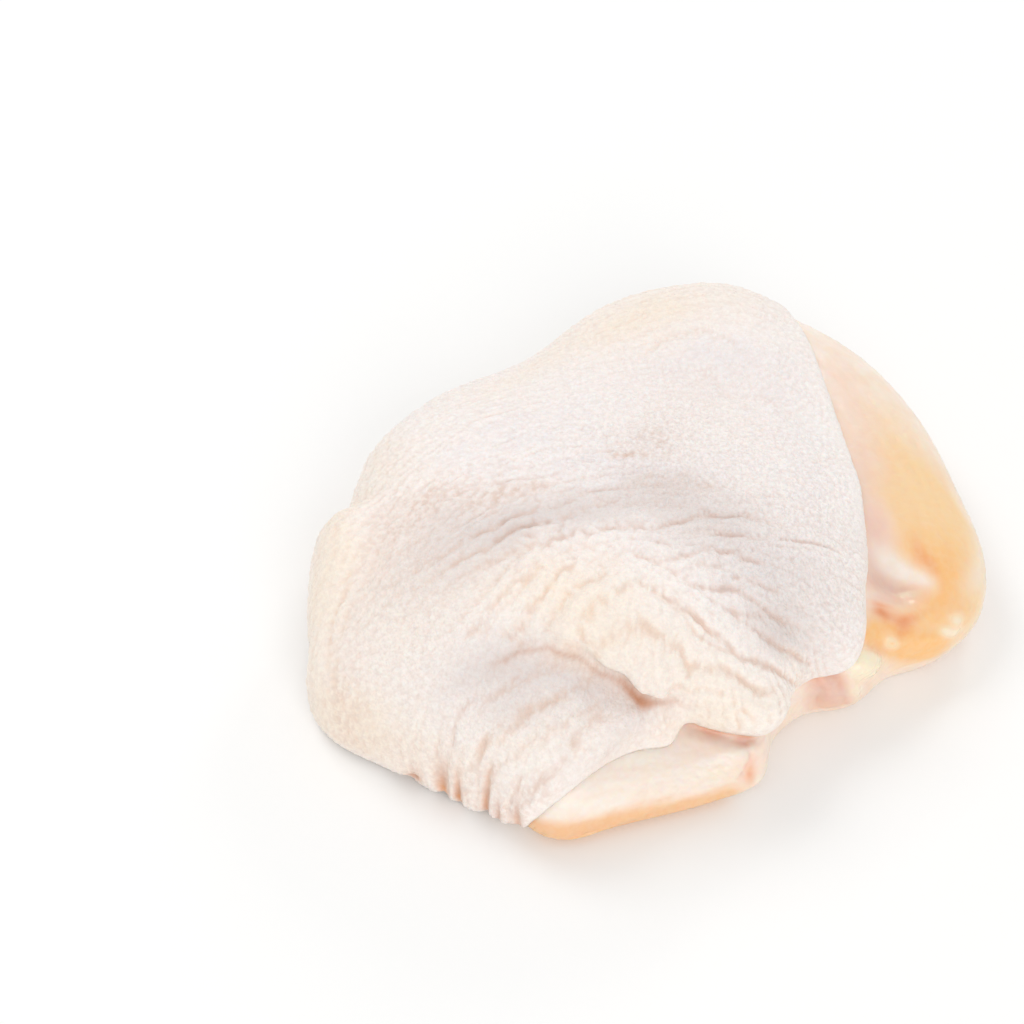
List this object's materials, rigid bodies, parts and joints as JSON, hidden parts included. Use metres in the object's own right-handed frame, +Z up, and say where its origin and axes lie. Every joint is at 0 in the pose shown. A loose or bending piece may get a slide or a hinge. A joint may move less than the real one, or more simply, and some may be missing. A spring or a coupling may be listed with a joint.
{
  "type": "raw boneless chicken leg",
  "caption": "Raw boneless chicken leg resting skin side up: a low mound of meat under a wrinkled skin, with bare muscle at one side and a thin flap in front.",
  "frame": {"origin": "centre of the bounding box's underside, on the surface that the leg rests on", "axes": "+Z up; -Y towards the near side with the thin flap; +X towards the bare muscle"},
  "size_m": [0.1324, 0.1364, 0.0354],
  "materials": {
    "meat": "moist, slightly translucent muscle",
    "skin": "moist pebbled skin"
  },
  "bodies": {
    "root": {"meat": "meat", "skin": "skin"}
  },
  "joints": []
}
